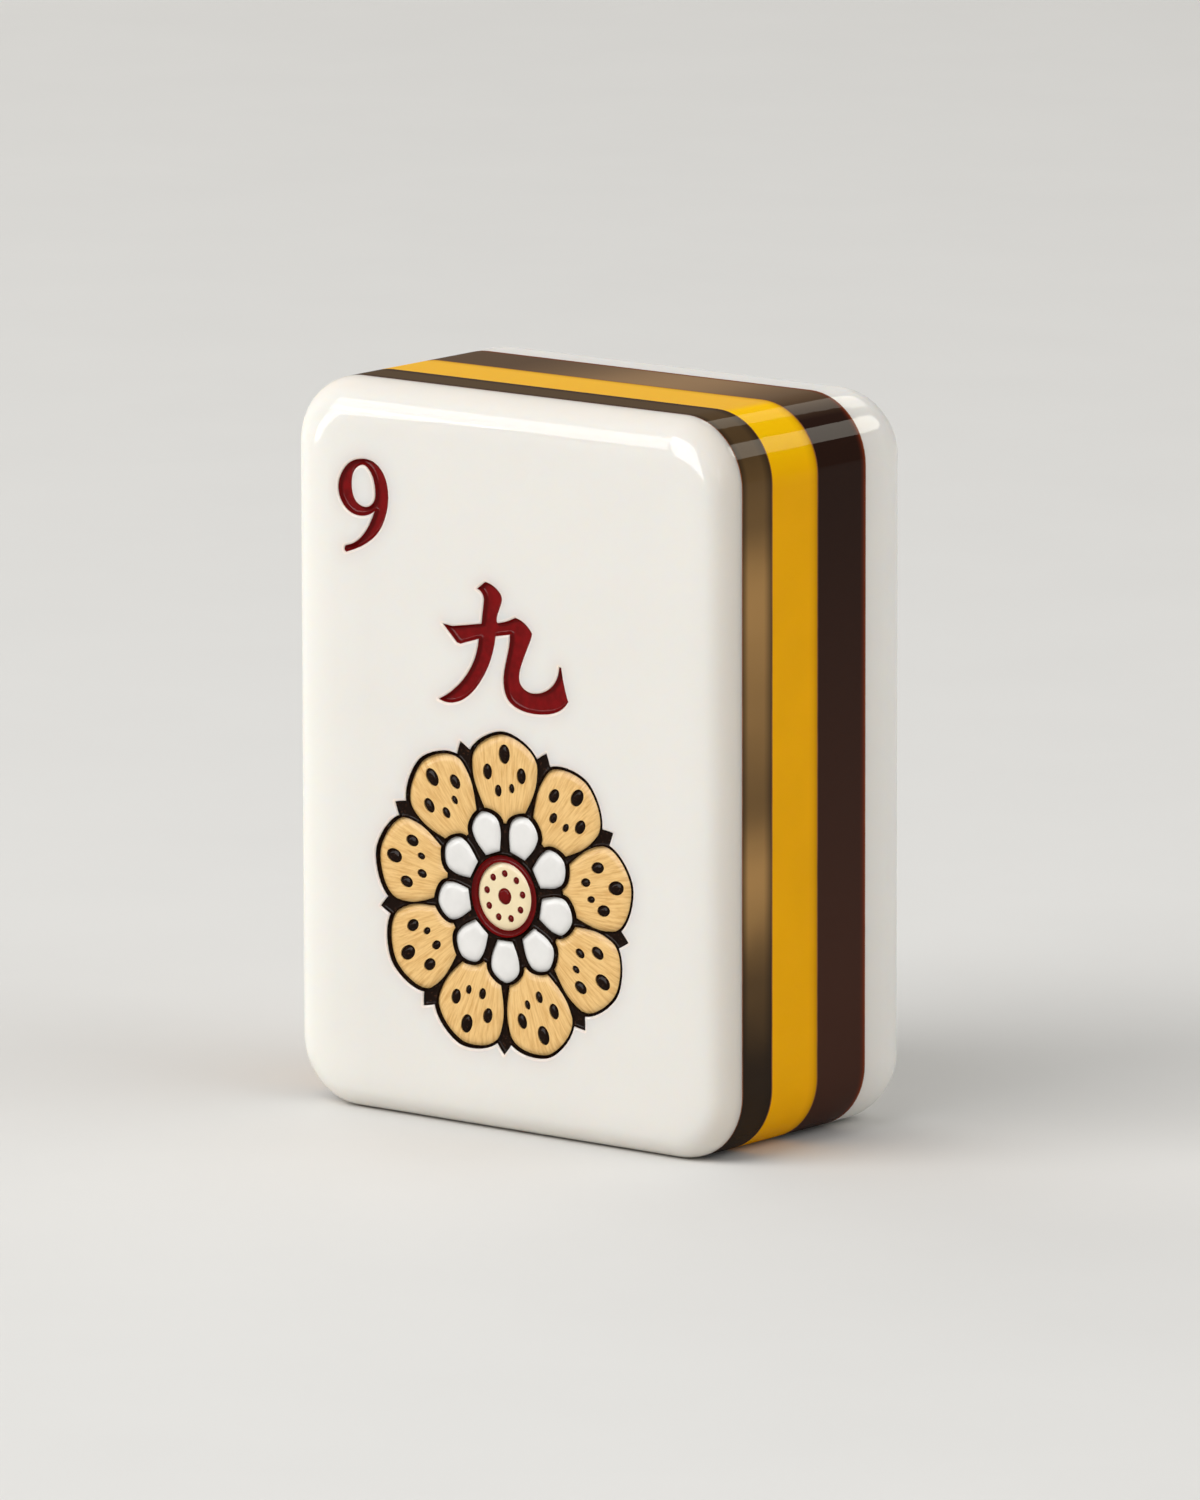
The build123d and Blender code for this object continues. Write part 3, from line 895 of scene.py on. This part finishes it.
def brown_plastic(finish):
    """Dark brown plastic, lighter towards its bottom end, with painted light on its top end and a red glow
    painted against the back slab.
    """
    material, tree, shader = coated("Brown plastic", 0.2, 0.02)
    place = object_place(tree)
    parts = axes(tree, place)
    sinking = spread(tree, parts["Z"], TILE_HEIGHT * 0.87, TILE_HEIGHT * 0.2)
    base = blend(tree, sinking, finish.brown, finish.brown_low)
    # Painted light: the top end is painted light brown, most strongly a little right of the middle.
    painted_light_end = spread(tree, parts["Z"], TILE_HEIGHT - 0.7, TILE_HEIGHT)
    swayed = math_node(tree, "ADD", parts["X"], noise(tree, place, 0.16, detail=2.0))
    across = spread(tree, swayed, -4.5, 10.0)
    painted_top_light_across = share_ramp(
        tree, across, (0.0, 0.21), (0.28, 0.45), (0.50, 0.68), (0.74, 0.52), (1.0, 0.20), smooth="CARDINAL"
    )
    lit = math_node(tree, "MULTIPLY", painted_light_end, painted_top_light_across)
    topped = blend(tree, lit, base, finish.brown_painted_top_light)
    back = back_of("brown_layer")
    # Painted light: a red glow painted on the last 0.3 mm of the brown layer, as light coming through from
    # the back slab.
    painted_glow_mask = spread(tree, parts["Y"], back - 0.30, back)
    depth = share_ramp(tree, painted_glow_mask, (0.0, 0.0), (0.5, 0.25), (1.0, 1.0))
    wire(tree, (blend(tree, depth, topped, finish.brown_painted_glow), shader.inputs["Base Color"]))
    polished(tree, shader, place)
    return material


def adhesive(finish):
    """Thin reddish film of glue."""
    material, tree, shader = coated("Adhesive", 0.2, 0.1)
    place = object_place(tree)
    flow = noise(tree, place, 0.8, detail=2.0)
    shades = [(0.3, finish.adhesive), (0.7, [part * 0.6 for part in finish.adhesive])]
    wire(tree, (ramp(tree, flow, shades), shader.inputs["Base Color"]))
    return material


def red_enamel(finish):
    """Glossy dark red enamel with darker mottling, and painted shade in a darker band just inside the edge of
    each stroke.
    """
    material, tree, shader = coated("Red enamel", 0.17, 0.03)
    place = object_place(tree)
    across = spread(tree, attribute(tree, "edge_distance"), 0.0, 0.3)
    # Painted shade: a darker band just inside the edge of each stroke, on its groove wall.
    painted_wall_shade = ramp(
        tree, across, [(0.0, finish.red), (0.25, finish.red_mottle_and_wall_shade), (0.6, finish.red), (1.0, finish.red)]
    )
    brushed = noise(tree, place, 3.0, detail=3.0)
    uneven = blend(tree, spread(tree, brushed, 0.40, 0.80), painted_wall_shade, finish.red_mottle_and_wall_shade)
    wire(tree, (uneven, shader.inputs["Base Color"]))
    bump(tree, shader, brushed, 0.25, 0.01 * MM)
    return material


def dark_enamel(finish):
    """Glossy black-brown enamel with a few pale specks."""
    material, tree, shader = coated("Dark enamel", 0.13, 0.06)
    place = object_place(tree)
    specks = noise(tree, place, 9.0, detail=2.0)
    shades = [(0.60, finish.black), (0.72, [part * 5.0 for part in finish.black])]
    wire(tree, (ramp(tree, specks, shades), shader.inputs["Base Color"]))
    bump(tree, shader, noise(tree, place, 4.0, detail=2.0), 0.3, 0.012 * MM)
    return material


def gold_enamel(finish, centre, reach):
    """Golden tan enamel with a fine grain that runs out from the rosette's centre."""
    material, tree, shader = coated("Gold enamel", 0.3, 0.16)
    place = object_place(tree, offset=(-centre[0], 0.0, -centre[1]))
    parts = axes(tree, place)
    bearing = math_node(tree, "ARCTAN2", parts["Z"], parts["X"])
    size = add_node(tree, "ShaderNodeVectorMath", operation="LENGTH")
    wire(tree, (place, size.inputs["Vector"]))
    radial = add_node(tree, "ShaderNodeCombineXYZ")
    wire(
        tree,
        (math_node(tree, "MULTIPLY", bearing, 34.0), radial.inputs["X"]),
        (size.outputs["Value"], radial.inputs["Y"]),
    )
    grain = noise(tree, radial.outputs["Vector"], 1.5, detail=4.0, roughness=0.65)
    toned = ramp(
        tree,
        spread(tree, size.outputs["Value"], reach * 0.45, reach),
        [(0.0, [part * 0.8 for part in finish.gold]), (0.45, finish.gold), (1.0, finish.gold_light)],
    )
    grained = blend(tree, spread(tree, grain, 0.42, 0.78), toned, [part * 0.76 for part in finish.gold])
    wire(tree, (grained, shader.inputs["Base Color"]))
    bump(tree, shader, grain, 0.35, 0.012 * MM)
    return material


def pale_enamel(name, tint):
    """Milky enamel with faint mottling and painted shade along its edges, used for the white petals and the
    cream disc.
    """
    material, tree, shader = coated(name, 0.4, 0.1)
    place = object_place(tree)
    mottle = noise(tree, place, 1.6, detail=3.0)
    shades = [(0.35, tint), (0.7, [part * 0.95 for part in tint])]
    # Painted shade: each cell is painted darker within 0.1 mm of its sunk edge.
    edge = spread(tree, attribute(tree, "edge_distance"), 0.0, 0.10)
    shaded = blend(tree, edge, [part * 0.75 for part in tint], ramp(tree, mottle, shades))
    wire(tree, (shaded, shader.inputs["Base Color"]))
    bump(tree, shader, mottle, 0.2, 0.01 * MM)
    return material


def floor_surface(studio):
    """Matte pale floor with very faint mottling."""
    material, tree, shader = new_material("Studio floor", Roughness=1.0, Specular_IOR_Level=0.0)
    place = object_place(tree)
    mottle = noise(tree, place, 0.09, detail=4.0)
    shades = [(0.3, studio.floor), (0.7, [part * 0.985 for part in studio.floor])]
    wire(tree, (ramp(tree, mottle, shades), shader.inputs["Base Color"]))
    return material


# ---------------------------------------------------------------- pieces


def polished_round(radius, shoulder, lean, steps):
    """A round as (outward, inward) points from a flat: a shoulder that leans over, then an arc."""
    shares = (np.arange(steps) + 0.5) / steps
    leans = np.concatenate([lean * shares**1.5, lean + (pi / 2 - lean) * shares])
    strides = np.repeat([shoulder / steps, radius * (pi / 2 - lean) / steps], steps)
    outward = np.concatenate([[0.0], np.cumsum(np.cos(leans) * strides)])
    inward = np.concatenate([[0.0], np.cumsum(np.sin(leans) * strides)])
    return list(zip(outward - outward[-1], inward))


def edge_profile(front, back, shape, rounded):
    """A layer's edge as (outward, depth) points, from its flat front to its flat back."""
    lean, steps = shape.shoulder_lean, shape.round_steps
    points = [(0.0, front), (0.0, back)]
    if rounded == "front":
        corner = polished_round(shape.front_round / MM, shape.shoulder / MM, lean, steps)
        points[:1] = [(outward, front + inward) for outward, inward in corner]
    if rounded == "back":
        corner = polished_round(shape.back_round / MM, shape.back_shoulder / MM, lean, steps)
        points[-1:] = [(outward, back - inward) for outward, inward in reversed(corner)]
    return points


def swept_layer(name, node, tree, shape, rounded=None):
    """A layer between its node's front and back; one with a round front keeps that end open."""
    front, back = front_of(node), back_of(node)
    profile = edge_profile(front, back, shape, rounded)
    mesh = bpy.data.meshes.new(name)
    mesh.from_pydata(
        [(out * MM, depth * MM, 0.0) for out, depth in profile],
        [(i, i + 1) for i in range(len(profile) - 1)],
        [],
    )
    piece = bpy.data.objects.new(name, mesh)
    bpy.context.scene.collection.objects.link(piece)
    values = {
        "Width": TILE_WIDTH * MM,
        "Height": TILE_HEIGHT * MM,
        "Corner radius": shape.corner_radius,
        "Corner steps": shape.corner_steps,
        "Front depth": -front * MM,
        "Back depth": -back * MM,
        "Open front": rounded == "front",
    }
    grow(piece, tree, values)
    return piece


def open_edge(piece):
    """The open edge of a piece as an (x, z) outline, counter-clockwise seen from the front."""
    body = bmesh.new()
    body.from_mesh(piece.data)
    edges = [edge for edge in body.edges if edge.is_boundary]
    neighbours = {}
    for edge in edges:
        for vertex, other in (edge.verts, reversed(edge.verts)):
            neighbours.setdefault(vertex.index, []).append(other.index)
    places = {vertex.index: (vertex.co.x / MM, vertex.co.z / MM) for edge in edges for vertex in edge.verts}
    body.free()
    start = min(neighbours)
    loop, before, now = [start], start, neighbours[start][0]
    while now != start:
        loop.append(now)
        before, now = now, next(other for other in neighbours[now] if other != before)
    outline = np.array([places[number] for number in loop])
    return outline if area(outline) > 0 else outline[::-1]


def engraved_face(name, outer, pockets, shape):
    """The flat face with its pockets: soft rims, walls and floors."""
    rim = shape.rim_width / MM
    sink = ENAMEL_Y - FACE_Y
    holes = [loop[::-1] for loop in pockets]
    distances = [rim * share for share in RIM_SHARES] + [*FACE_ROWS, HALO_REACH]
    places, faces = triangulate([outer, *holes], rings(holes, distances, FACE_SPACING))
    gaps = edge_distance(places, holes)
    across = np.clip(1 - gaps / rim, 0, 1)
    depth = FACE_Y + sink * (1 - np.sqrt(1 - across**2))
    tops = [(x, y, z) for (x, z), y in zip(places, depth)]
    on_pocket = gaps < ON_EDGE
    border = [side for side in rim_edges(faces) if on_pocket[side[0]] and on_pocket[side[1]]]
    floor, walls, bottom = sink_border(places, border, len(tops), pockets)
    nearness = list(1 - np.minimum(gaps, HALO_REACH) / HALO_REACH) + [1.0] * len(floor)
    faces = [tuple(face) for face in faces] + walls + bottom
    return new_piece(name, tops + floor, faces, {"near_engraving": nearness})


def weld(first, second):
    """Joins the second piece into the first and merges the edge that they share."""
    body = bmesh.new()
    body.from_mesh(first.data)
    body.verts.layers.float.new("near_engraving")
    body.from_mesh(second.data)
    bmesh.ops.remove_doubles(body, verts=body.verts, dist=0.0005 * MM)
    bmesh.ops.recalc_face_normals(body, faces=body.faces)
    body.to_mesh(first.data)
    body.free()
    bpy.data.objects.remove(second)


def keep_flats_flat(piece):
    """Lets the large flat faces rule the shading, so that the rounds start at their edges."""
    modifier = piece.modifiers.new("Flat faces rule", "WEIGHTED_NORMAL")
    modifier.weight = 100
    modifier.keep_sharp = True


def groove(shape):
    """Depth profile of a red stroke: a sloping wall that runs out into a flat bottom."""
    reach, deepest = shape.groove_slope / MM, shape.groove_depth / MM

    def depth(gap):
        share = min(gap / reach, 1.0)
        return deepest * (1 - (1 - share) ** 2)

    return depth


def pillow(edge, crown, reach):
    """Depth profile of a cell that rises from its edge to a crown."""

    def depth(gap):
        share = min(gap / reach, 1.0)
        return crown + (edge - crown) * (1 - share) ** 2

    return depth


def sunk_line(shape):
    """Depth profile of the dark lines: a short fall to a level surface."""
    return pillow(0.0, shape.line_depth / MM, shape.line_fall / MM)


ROSETTE = middle(max(front_outlines("ring_enamel"), key=area))
ROSETTE_REACH = float(max(front_outlines("outline_enamel"), key=area)[:, 1].max() - ROSETTE[1])


class Workshop:
    """The node trees and materials that the operators share, made once when they are needed."""

    kept = {}

    @classmethod
    def get(cls, name, make, *arguments):
        """A shared tree or material."""
        if name not in cls.kept:
            cls.kept[name] = make(*arguments)
        return cls.kept[name]


def ivory(scene):
    """The plastic of the front and back slabs."""
    return Workshop.get("ivory", ivory_plastic, scene.tile_finish)


class TILE_OT_front_slab(bpy.types.Operator):
    """Front slab with the engraving cut into its face"""

    bl_idname = "tile.front_slab"
    bl_label = "Front slab"

    def execute(self, context):
        shape = context.scene.tile_shape
        tree = Workshop.get("layer", layer_tree)
        slab = swept_layer("front_slab_polished", "front_slab", tree, shape, rounded="front")
        pockets = [*front_outlines("index_enamel"), *front_outlines("numeral_enamel")]
        pockets.append(max(front_outlines("outline_enamel"), key=area))
        face = engraved_face("face", open_edge(slab), pockets, shape)
        weld(slab, face)
        keep_flats_flat(settle(slab, ivory(context.scene), "ivory_plastic", "front_slab"))
        return {"FINISHED"}


class TILE_OT_coloured_layers(bpy.types.Operator):
    """Smoky, amber and brown layers"""

    bl_idname = "tile.coloured_layers"
    bl_label = "Coloured layers"

    def execute(self, context):
        shape, finish = context.scene.tile_shape, context.scene.tile_finish
        tree = Workshop.get("layer", layer_tree)
        plastics = {"smoke": smoke_plastic, "amber": amber_plastic, "brown": brown_plastic}
        for colour_name, make in plastics.items():
            node = colour_name + "_layer"
            layer = swept_layer(node + "_polished", node, tree, shape)
            face_outwards(layer)
            settle(layer, Workshop.get(colour_name, make, finish), colour_name + "_plastic", node)
        return {"FINISHED"}


class TILE_OT_back_slab(bpy.types.Operator):
    """Back slab with its soft round"""

    bl_idname = "tile.back_slab"
    bl_label = "Back slab"

    def execute(self, context):
        shape = context.scene.tile_shape
        tree = Workshop.get("layer", layer_tree)
        slab = swept_layer("back_slab_polished", "back_slab", tree, shape, rounded="back")
        face_outwards(slab)
        keep_flats_flat(settle(slab, ivory(context.scene), "ivory_plastic", "back_slab"))
        return {"FINISHED"}


class TILE_OT_bond_films(bpy.types.Operator):
    """Films of adhesive between the layers, as the frame has them"""

    bl_idname = "tile.bond_films"
    bl_label = "Bond films"

    def execute(self, context):
        material = Workshop.get("adhesive", adhesive, context.scene.tile_finish)
        for name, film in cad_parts.items():
            if name.startswith("bond_"):
                film.data.materials.clear()
                film.data.materials.append(material)
        return {"FINISHED"}


class TILE_OT_red_figures(bpy.types.Operator):
    """Red enamel in the index figure and the large numeral"""

    bl_idname = "tile.red_figures"
    bl_label = "Red figures"

    def execute(self, context):
        shape = context.scene.tile_enamel
        material = Workshop.get("red", red_enamel, context.scene.tile_finish)
        for node in ("index_enamel", "numeral_enamel"):
            loops = front_outlines(node)
            piece = enamel_cell(node + "_fill", loops, groove(shape), FIGURE_ROWS, FIGURE_SPACING)
            settle(piece, material, "red_enamel", node)
        return {"FINISHED"}


class TILE_OT_rosette_lines(bpy.types.Operator):
    """Dark lines and sepals of the rosette"""

    bl_idname = "tile.rosette_lines"
    bl_label = "Rosette lines"

    def execute(self, context):
        shape = context.scene.tile_enamel
        material = Workshop.get("dark", dark_enamel, context.scene.tile_finish)
        loops = front_outlines("outline_enamel")
        piece = enamel_cell("rosette_lines", loops, sunk_line(shape), LINE_ROWS, LINE_SPACING)
        settle(piece, material, "dark_enamel", "outline_enamel")
        return {"FINISHED"}


def first_cell(node):
    """The cell of a node that lies straight above the rosette's centre, or next to it."""

    def off_axis(cell):
        x, z = middle(cell[0]) - ROSETTE
        return round(abs(np.arctan2(x, z)), 3), x

    return min(cells_of(node), key=off_axis)


def round_the_rosette(piece, count, material):
    """Repeats a piece's one cell round the rosette."""
    tree = Workshop.get("rosette", rosette_tree)
    centre = (ROSETTE[0] * MM, 0.0, ROSETTE[1] * MM)
    grow(piece, tree, {"Count": count, "Centre": centre, "Material": material})


class TILE_OT_petals(bpy.types.Operator):
    """Nine golden petals and nine white inner ones"""

    bl_idname = "tile.petals"
    bl_label = "Petals"

    def execute(self, context):
        shape, finish = context.scene.tile_enamel, context.scene.tile_finish
        gold = Workshop.get("gold", gold_enamel, finish, ROSETTE, ROSETTE_REACH)
        white = Workshop.get("white", pale_enamel, "White enamel", finish.white)
        profile = pillow(shape.petal_edge / MM, shape.petal_crown / MM, shape.petal_swell / MM)
        for node, material, slot in (
            ("gold_petal_enamel", gold, "gold_enamel"),
            ("inner_petal_enamel", white, "white_enamel"),
        ):
            piece = petal(node + "_fill", first_cell(node), profile, PETAL_ROWS)
            round_the_rosette(piece, len(cells_of(node)), material)
            settle(piece, material, slot, node)
        return {"FINISHED"}


class TILE_OT_spots(bpy.types.Operator):
    """Dark spots on the golden petals"""

    bl_idname = "tile.spots"
    bl_label = "Spots"

    def execute(self, context):
        shape = context.scene.tile_enamel
        material = Workshop.get("dark", dark_enamel, context.scene.tile_finish)
        petal_holes = first_cell("gold_petal_enamel")[1:]
        loops = [hole[::-1] for hole in petal_holes]
        profile = pillow(shape.spot_edge / MM, 0.0, shape.spot_swell / MM)
        piece = enamel_cell("petal_spots", loops, profile, SPOT_ROWS, SPOT_SPACING)
        round_the_rosette(piece, len(cells_of("gold_petal_enamel")), material)
        settle(piece, material, "dark_enamel", "petal_spot_enamel")
        return {"FINISHED"}


class TILE_OT_disc(bpy.types.Operator):
    """Red ring, cream disc and red seeds in the rosette's middle"""

    bl_idname = "tile.disc"
    bl_label = "Disc"

    def execute(self, context):
        shape, finish = context.scene.tile_enamel, context.scene.tile_finish
        red = Workshop.get("red", red_enamel, finish)
        cream = Workshop.get("cream", pale_enamel, "Cream enamel", finish.cream)
        ring = enamel_cell(
            "disc_ring", front_outlines("ring_enamel"), sunk_line(shape), LINE_ROWS, LINE_SPACING
        )
        settle(ring, red, "red_enamel", "ring_enamel")
        swell = pillow(shape.disc_edge / MM, shape.disc_crown / MM, shape.disc_swell / MM)
        disc = petal("cream_disc", cells_of("disc_enamel")[0], swell, DISC_ROWS)
        settle(disc, cream, "cream_enamel", "disc_enamel")
        cells = sorted(cells_of("seed_enamel"), key=lambda cell: area(cell[0]))
        bead = pillow(shape.seed_edge / MM, 0.0, shape.seed_swell / MM)
        heart = enamel_cell("heart_seed", cells[-1], bead, SEED_ROWS, HEART_SPACING)
        settle(heart, red, "red_enamel", "seed_enamel")
        seed = enamel_cell("seeds", cells[0], bead, SEED_ROWS, SEED_SPACING)
        round_the_rosette(seed, len(cells) - 1, red)
        settle(seed, red, "red_enamel", "seed_enamel")
        return {"FINISHED"}


# ---------------------------------------------------------------- studio


def round_floor(radius):
    """A flat round floor."""
    body = bmesh.new()
    bmesh.ops.create_circle(body, cap_ends=True, segments=96, radius=radius)
    mesh = bpy.data.meshes.new("studio_floor")
    body.to_mesh(mesh)
    body.free()
    floor = bpy.data.objects.new("studio_floor", mesh)
    bpy.context.scene.collection.objects.link(floor)
    return floor


def towards(azimuth, elevation):
    """The direction from the tile to a place at this azimuth and elevation, in degrees."""
    a, e = radians(azimuth), radians(elevation)
    return Vector((sin(a) * cos(e), -cos(a) * cos(e), sin(e)))


def soft_light(
    name, azimuth, elevation, width, height, power, distance=LIGHT_DISTANCE, tint=WHITE_LIGHT
):
    """A rectangular soft light that faces the middle of the tile and isn't mirrored in it."""
    lamp = bpy.data.lights.new(name, "AREA")
    lamp.shape = "RECTANGLE"
    lamp.size, lamp.size_y = width, height
    lamp.energy = power
    lamp.color = tint
    light = bpy.data.objects.new(name, lamp)
    direction = towards(azimuth, elevation)
    light.location = Vector((0, 0, TILE_HEIGHT / 2 * MM)) + direction * distance
    light.rotation_euler = direction.to_track_quat("Z", "Y").to_euler()
    light.visible_camera = False
    light.visible_glossy = False
    bpy.context.scene.collection.objects.link(light)
    return light


def mirror_card(
    name, azimuth, elevation, width, height, power, seen_from, distance=LIGHT_DISTANCE, tint=WHITE_LIGHT
):
    """A light that only polished surfaces show; its direction is from a place in millimetres."""
    card = soft_light(name, azimuth, elevation, width, height, power, distance, tint)
    card.location = Vector(seen_from) * MM + towards(azimuth, elevation) * distance
    card.visible_diffuse = False
    card.visible_glossy = True
    return card


def place_camera(studio):
    """The camera at the fitted viewing angle, aimed near the middle of the tile."""
    back = towards(degrees(studio.azimuth), degrees(studio.elevation))
    right = Vector((cos(studio.azimuth), sin(studio.azimuth), 0.0))
    up = back.cross(right)
    level_right = right * cos(studio.roll) + up * sin(studio.roll)
    level_up = up * cos(studio.roll) - right * sin(studio.roll)
    data = bpy.data.cameras.new("camera")
    data.sensor_width = 36.0
    data.lens = studio.lens
    data.clip_start, data.clip_end = 0.01, 20.0
    camera = bpy.data.objects.new("camera", data)
    camera.rotation_euler = Matrix((level_right, level_up, back)).transposed().to_euler()
    middle_of_tile = Vector((0, 0, TILE_HEIGHT / 2 * MM))
    offset = level_right * studio.shift_right + level_up * studio.shift_up
    camera.location = middle_of_tile + offset + back * studio.distance
    bpy.context.scene.collection.objects.link(camera)
    bpy.context.scene.camera = camera


def light_tile(studio):
    """The soft lights round the tile."""
    soft_light("key", -25, 36, width=0.75, height=0.5, power=studio.key_power)
    soft_light("high", -10, 58, width=0.75, height=0.5, power=studio.high_power)
    soft_light("left", -112, 25, width=0.6, height=0.6, power=studio.left_power, tint=FAINTLY_WARM_LIGHT)
    soft_light("fill", 100, 30, width=0.7, height=0.7, power=studio.fill_power)
    soft_light("back", 120, 40, width=0.7, height=0.7, power=studio.back_power)


def hang_cards(studio):
    """The cards that the polished edges mirror, each placed for the spot where it shows."""
    mirror_card(
        "band_card", -41.2, 12.6, width=0.15, height=0.36, power=studio.band_power, seen_from=(0, -6, 29)
    )
    mirror_card(
        "blob_card", -20, 17, width=0.50, height=0.62, power=studio.blob_power, seen_from=(9, -6, 28)
    )
    crescent = mirror_card(
        "corner_card",
        -42.8,
        -3.2,
        width=0.019,
        height=0.052,
        power=studio.corner_power,
        seen_from=(-9, -6.6, 28),
        distance=0.18,
    )
    crescent_lean = radians(-33)
    crescent.rotation_euler.rotate_axis("Z", crescent_lean)
    mirror_card(
        "glint_card", 54, 17, width=0.10, height=0.20, power=studio.glint_power, seen_from=(10, -6, 26)
    )
    behind = {"seen_from": (10, 0, 29), "distance": BACK_CARD_DISTANCE, "tint": WARM_LIGHT}
    mirror_card("upper_card", -167, 35.5, width=0.34, height=0.09, power=studio.upper_power, **behind)
    mirror_card("lower_card", 155.5, 29, width=0.225, height=0.168, power=studio.lower_power, **behind)


class TILE_OT_stage(bpy.types.Operator):
    """Floor, surround, soft lights and camera"""

    bl_idname = "tile.stage"
    bl_label = "Stage"

    def execute(self, context):
        studio = context.scene.tile_studio
        floor = round_floor(FLOOR_RADIUS)
        floor.data.materials.append(floor_surface(studio))
        world = bpy.data.worlds.new("studio")
        world.use_nodes = True
        background = world.node_tree.nodes["Background"]
        background.inputs["Color"].default_value = rgba(studio.surround)
        background.inputs["Strength"].default_value = studio.surround_strength
        context.scene.world = world
        light_tile(studio)
        hang_cards(studio)
        context.scene.view_settings.view_transform = "Standard"
        place_camera(studio)
        return {"FINISHED"}


class TILE_PT_panel(bpy.types.Panel):
    """Builds the tile and its studio"""

    bl_label = "Mahjong tile"
    bl_idname = "TILE_PT_panel"
    bl_space_type = "VIEW_3D"
    bl_region_type = "UI"
    bl_category = "Tile"

    def draw(self, context):
        scene = context.scene
        for operator in OPERATORS:
            self.layout.operator(operator.bl_idname)
        for settings in (scene.tile_shape, scene.tile_enamel, scene.tile_finish, scene.tile_studio):
            box = self.layout.box()
            for label in settings.__annotations__:
                box.prop(settings, label)


SETTINGS = {
    "tile_shape": TileShape,
    "tile_enamel": EnamelShape,
    "tile_finish": Finish,
    "tile_studio": Studio,
}
OPERATORS = (
    TILE_OT_front_slab,
    TILE_OT_coloured_layers,
    TILE_OT_back_slab,
    TILE_OT_bond_films,
    TILE_OT_red_figures,
    TILE_OT_rosette_lines,
    TILE_OT_petals,
    TILE_OT_spots,
    TILE_OT_disc,
    TILE_OT_stage,
)


def register():
    """Makes the settings, operators and panel known to Blender."""
    for name, group in SETTINGS.items():
        bpy.utils.register_class(group)
        setattr(bpy.types.Scene, name, PointerProperty(type=group))
    for item in (*OPERATORS, TILE_PT_panel):
        bpy.utils.register_class(item)


def unregister():
    """Takes them back out."""
    for item in (TILE_PT_panel, *reversed(OPERATORS)):
        bpy.utils.unregister_class(item)
    for name, group in SETTINGS.items():
        delattr(bpy.types.Scene, name)
        bpy.utils.unregister_class(group)


def main():
    """Builds every piece and the stage."""
    register()
    for operator in OPERATORS:
        family, action = operator.bl_idname.split(".")
        getattr(getattr(bpy.ops, family), action)()


if __name__ == "__main__":
    main()
